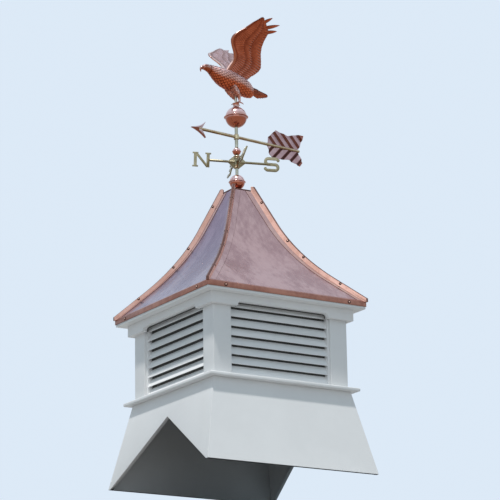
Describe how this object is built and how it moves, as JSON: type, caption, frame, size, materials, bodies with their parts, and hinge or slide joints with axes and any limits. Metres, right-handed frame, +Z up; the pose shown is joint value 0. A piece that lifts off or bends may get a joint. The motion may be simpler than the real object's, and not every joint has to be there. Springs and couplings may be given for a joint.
{
  "type": "barn roof cupola with a turning eagle weathervane",
  "caption": "Square louvered roof-ridge cupola on a flared, saddle-cut base, with a concave copper roof and a weathervane whose arrow, ball and eagle turn on the mast.",
  "frame": {"origin": "centre of the base, level with the two feet that stand on the roof slopes", "axes": "+Z up the mast; X along the barn's ridge, with -Y the front apron; the weathervane's arrow points near -X at rest"},
  "size_m": [0.958, 0.958, 2.4073],
  "materials": {
    "white_vinyl": "smooth satin white cellular vinyl board",
    "louver_vinyl": "moulded satin white vinyl",
    "roof_timber": "sawn softwood",
    "roof_copper": "mill copper sheet, faintly streaked and dulled",
    "rib_copper": "bright folded copper",
    "ball_copper": "polished spun copper",
    "mast_steel": "plated rod",
    "figure_copper": "embossed polished copper",
    "arrow_copper": "pressed copper",
    "yellow_brass": "satin cast brass"
  },
  "bodies": {
    "cupola": {"apron_front": "white_vinyl", "apron_back": "white_vinyl", "apron_left": "white_vinyl", "apron_right": "white_vinyl", "sill": "white_vinyl", "post_front_left": "white_vinyl", "post_front_right": "white_vinyl", "post_back_left": "white_vinyl", "post_back_right": "white_vinyl", "louver_front": "louver_vinyl", "louver_back": "louver_vinyl", "louver_left": "louver_vinyl", "louver_right": "louver_vinyl", "frieze_front": "white_vinyl", "frieze_back": "white_vinyl", "frieze_left": "white_vinyl", "frieze_right": "white_vinyl", "soffit": "white_vinyl", "roof_frame": "roof_timber", "roof_sheet_front": "roof_copper", "roof_sheet_back": "roof_copper", "roof_sheet_left": "roof_copper", "roof_sheet_right": "roof_copper", "hip_rib_front_left": "rib_copper", "hip_rib_front_right": "rib_copper", "hip_rib_back_left": "rib_copper", "hip_rib_back_right": "rib_copper", "roof_cap": "rib_copper", "mast": "mast_steel", "lower_ball": "ball_copper", "compass_hub": "yellow_brass", "letter_n": "yellow_brass", "letter_e": "yellow_brass", "letter_s": "yellow_brass", "letter_w": "yellow_brass", "small_ball": "ball_copper"},
    "vane": {"vane_tube": "yellow_brass", "arrow_shaft": "yellow_brass", "arrow_head": "arrow_copper", "arrow_fletching": "arrow_copper", "upper_ball": "ball_copper", "eagle_body": "figure_copper", "eagle_left_wing": "figure_copper", "eagle_right_wing": "figure_copper", "eagle_tail": "figure_copper", "eagle_legs": "figure_copper"}
  },
  "joints": [
    {"name": "vane_turn", "type": "hinge", "parent": "cupola", "child": "vane", "pos_m": [0, 0, 1.72], "axis": [0, 0, 1], "continuous": true}
  ]
}
